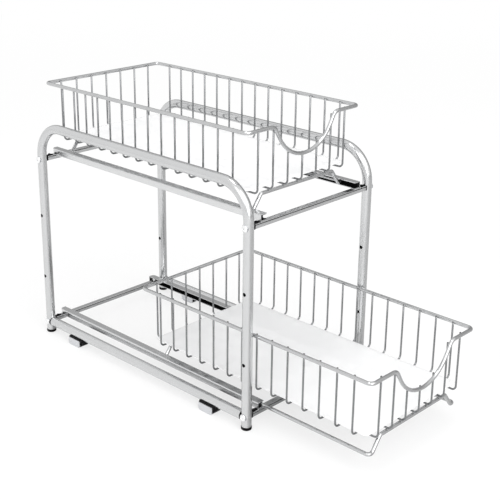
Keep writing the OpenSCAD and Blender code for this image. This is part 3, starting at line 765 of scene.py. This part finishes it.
# ---- Runner frames ----
# One 6 mm wire bent to a closed loop: two bars under the basket, and a runner at each side
# that slides in its guide. It is welded under the long wires.
runner_x, foot_x, bar_half = 107.0, 99.0, 82.0
bar_drop, runner_drop = 101.05, 123.65
bar_front, bar_rear = rim_front + 12.5, rim_rear - 25.0
step_r, end_r = 5.5, 5.0  # bends of the steps down, and of the runners' ends
runner_weld_d = rim_d + 0.4
for tier in rim_height:
    bm = bmesh.new()
    bent_bar(
        bm,
        [(0, bar_rear, -bar_drop), (-bar_half, bar_rear, -bar_drop),
         (-foot_x, bar_rear, -runner_drop), (-runner_x, bar_rear, -runner_drop),
         (-runner_x, bar_front, -runner_drop), (-foot_x, bar_front, -runner_drop),
         (-bar_half, bar_front, -bar_drop), (bar_half, bar_front, -bar_drop),
         (foot_x, bar_front, -runner_drop), (runner_x, bar_front, -runner_drop),
         (runner_x, bar_rear, -runner_drop), (foot_x, bar_rear, -runner_drop),
         (bar_half, bar_rear, -bar_drop), (0, bar_rear, -bar_drop)],
        [step_r, step_r, end_r, end_r, step_r, step_r] * 2,
        rim_d, sides=24, steps=8, closed=True,
    )
    bead(bm, (-weld_half, bar_rear, -bar_drop), (weld_half, bar_rear, -bar_drop), runner_weld_d, 1,
         weld_swing)
    to_tier(bm, tier)
    add_piece(bm, f"{tier}_bent_runner_frame", f"{tier}_basket", "silver_wire", [rim_wire],
              f"{tier}_runner_frame")

# ---- Wire welds ----
# Every crossing is resistance-welded: a small lens of fused metal shows in its corners.
# The coat over it is a little greyer.
weld_in, rim_weld_z = 3.02, -0.4  # from the rim's axis: inwards, and down
cross_weld_z, runner_weld_z = -94.98, -98.02
for tier in rim_height:
    bm = bmesh.new()
    for x in long_places:
        for y in cross_places:
            tack(bm, (x, y, cross_weld_z), (1.9, 1.9, 0.9))
        tack(bm, (x, rim_rear - weld_in, rim_weld_z), (1.5, 0.8, 1.8))
        tack(bm, (x, rim_front + weld_in, rim_dips(x) + rim_weld_z), (1.5, 0.8, 1.8))
        if abs(x) < bar_half:
            tack(bm, (x, bar_front, runner_weld_z), (1.9, 2.4, 0.9))
            tack(bm, (x, bar_rear, runner_weld_z), (1.9, 2.4, 0.9))
    for y in cross_places:
        for side in (-1, 1):
            tack(bm, (side * (rim_x - weld_in), y, rim_weld_z), (0.8, 1.5, 1.8))
    to_tier(bm, tier)
    add_piece(bm, f"{tier}_wire_welds", f"{tier}_basket", "silver_wire", [weld_grey])

# ---- Liners ----
# A frosted plastic sheet with round corners lies loose on the cross wires of each basket.
# It sags a hair between them, and the wires show through faintly.
liner_w, liner_l, liner_t, liner_z = 225.9, 444.8, 1.2, -91.9
corner_cut, edge_cut, sag, sag_margin = 7.2, 0.3, 0.3, 30
middle = (long_front + long_rear) / 2
frosted, p = new_material("frosted_sheet")
where = p.add("ShaderNodeTexCoord")
pebble = p.add("ShaderNodeTexVoronoi", {"Scale": 900.0})
haze = p.add("ShaderNodeTexNoise", {"Scale": 14.0, "Detail": 4.0})
dull = p.add("ShaderNodeMapRange", {"To Min": 0.38, "To Max": 0.55})
tone = p.add("ShaderNodeMixRGB", {"Color1": (0.98, 0.982, 0.985, 1), "Color2": (0.955, 0.957, 0.962, 1)})
lift = p.add("ShaderNodeBump", {"Strength": 1.0, "Distance": 0.00003})
skin = p.add("ShaderNodeBsdfPrincipled", {"Alpha": 0.72})
out = p.add("ShaderNodeOutputMaterial")
p.wire(where, "Object", pebble, "Vector")
p.wire(where, "Object", haze, "Vector")
p.wire(haze, "Fac", dull, "Value")
p.wire(haze, "Fac", tone, "Fac")
p.wire(tone, "Color", skin, "Base Color")
p.wire(dull, "Result", skin, "Roughness")
p.wire(pebble, "Distance", lift, "Height")
p.wire(lift, "Normal", skin, "Normal")
p.wire(skin, 0, out, 0)
for tier in rim_height:
    bm = bmesh.new()
    bmesh.ops.create_grid(bm, x_segments=24, y_segments=60, size=0.5)
    bmesh.ops.scale(bm, vec=(liner_w, liner_l, 1), verts=bm.verts)
    corners = [vert for vert in bm.verts if len(vert.link_faces) == 1]
    bmesh.ops.bevel(bm, geom=corners, offset=corner_cut, segments=6, profile=0.5, affect="VERTICES",
                    material=-1)
    for vert in bm.verts:
        between = math.sin(math.pi * (vert.co.y + middle - cross_places[0]) / cross_pitch) ** 2
        edge = min(1.0, (liner_w / 2 - abs(vert.co.x)) / sag_margin)
        vert.co.z = -sag * between * edge
    new = bmesh.ops.extrude_face_region(bm, geom=list(bm.faces))["geom"]
    upper_side = [item for item in new if isinstance(item, bmesh.types.BMVert)]
    bmesh.ops.translate(bm, vec=(0, 0, liner_t), verts=upper_side)
    bmesh.ops.recalc_face_normals(bm, faces=bm.faces)
    turns = [edge for edge in bm.edges if len(edge.link_faces) == 2 and edge.calc_face_angle(0) > 1]
    brims = [edge for edge in turns if abs(edge.verts[0].co.z - edge.verts[1].co.z) < liner_t / 2]
    bmesh.ops.bevel(bm, geom=brims, offset=edge_cut, segments=2, profile=0.5, affect="EDGES", material=-1)
    bmesh.ops.translate(bm, vec=(0, middle, liner_z), verts=bm.verts)
    to_tier(bm, tier)
    add_piece(bm, f"{tier}_frosted_liner", f"{tier}_basket", "frosted_sheet", [frosted], f"{tier}_liner")
